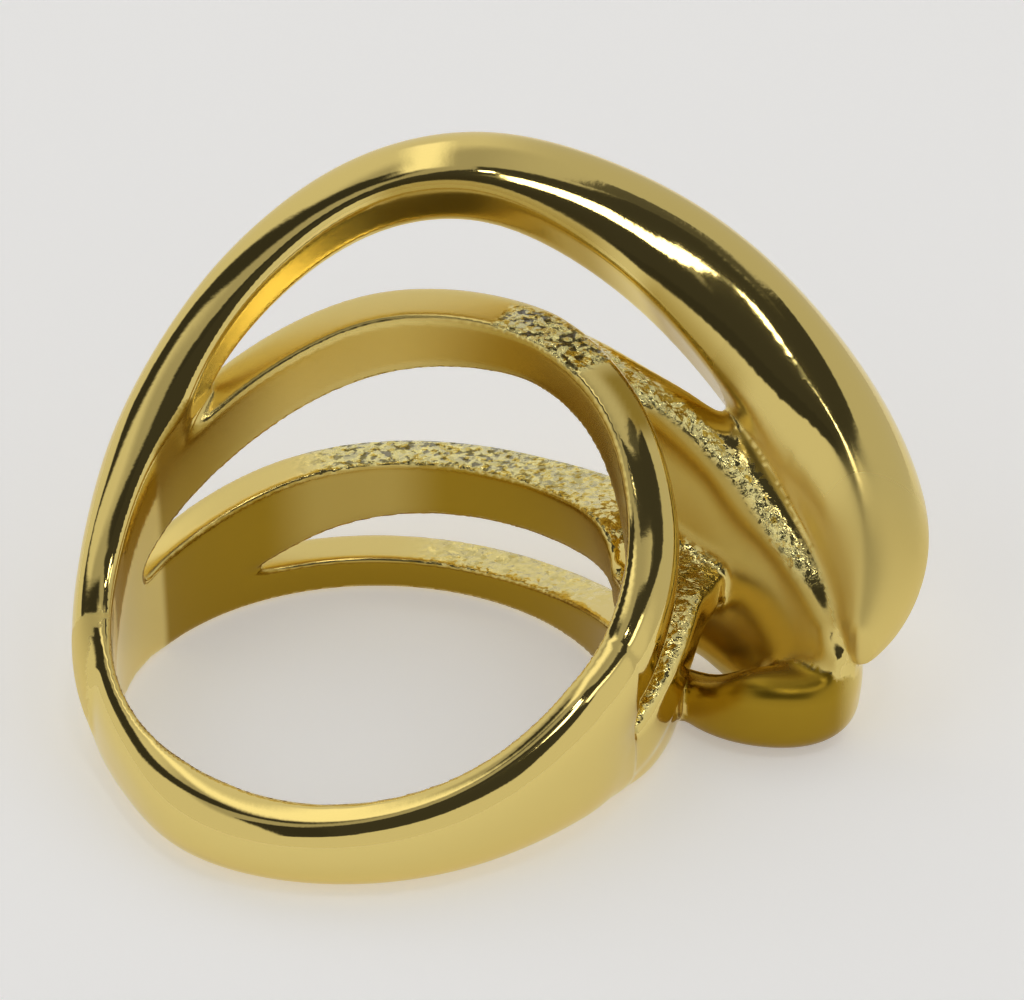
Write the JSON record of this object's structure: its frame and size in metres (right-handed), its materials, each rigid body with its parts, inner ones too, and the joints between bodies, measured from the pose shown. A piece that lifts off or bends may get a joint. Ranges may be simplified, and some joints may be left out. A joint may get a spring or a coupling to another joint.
{
  "type": "openwork statement ring",
  "caption": "Wide openwork dome ring: a narrow shank opens into hoops over the finger and a thick outer strand that ends in a broad curled lobe.",
  "frame": {"origin": "on the axis of the finger hole, level with the rim the ring lies on", "axes": "+Z along the finger, up as the ring lies on its side; the head looks toward plan angle 57 degrees from +X, and +Y points away from the picture's camera"},
  "size_m": [0.0306, 0.0259, 0.0165],
  "materials": {
    "ring": "polished"
  },
  "bodies": {
    "root": {"ring": "ring"}
  },
  "joints": []
}
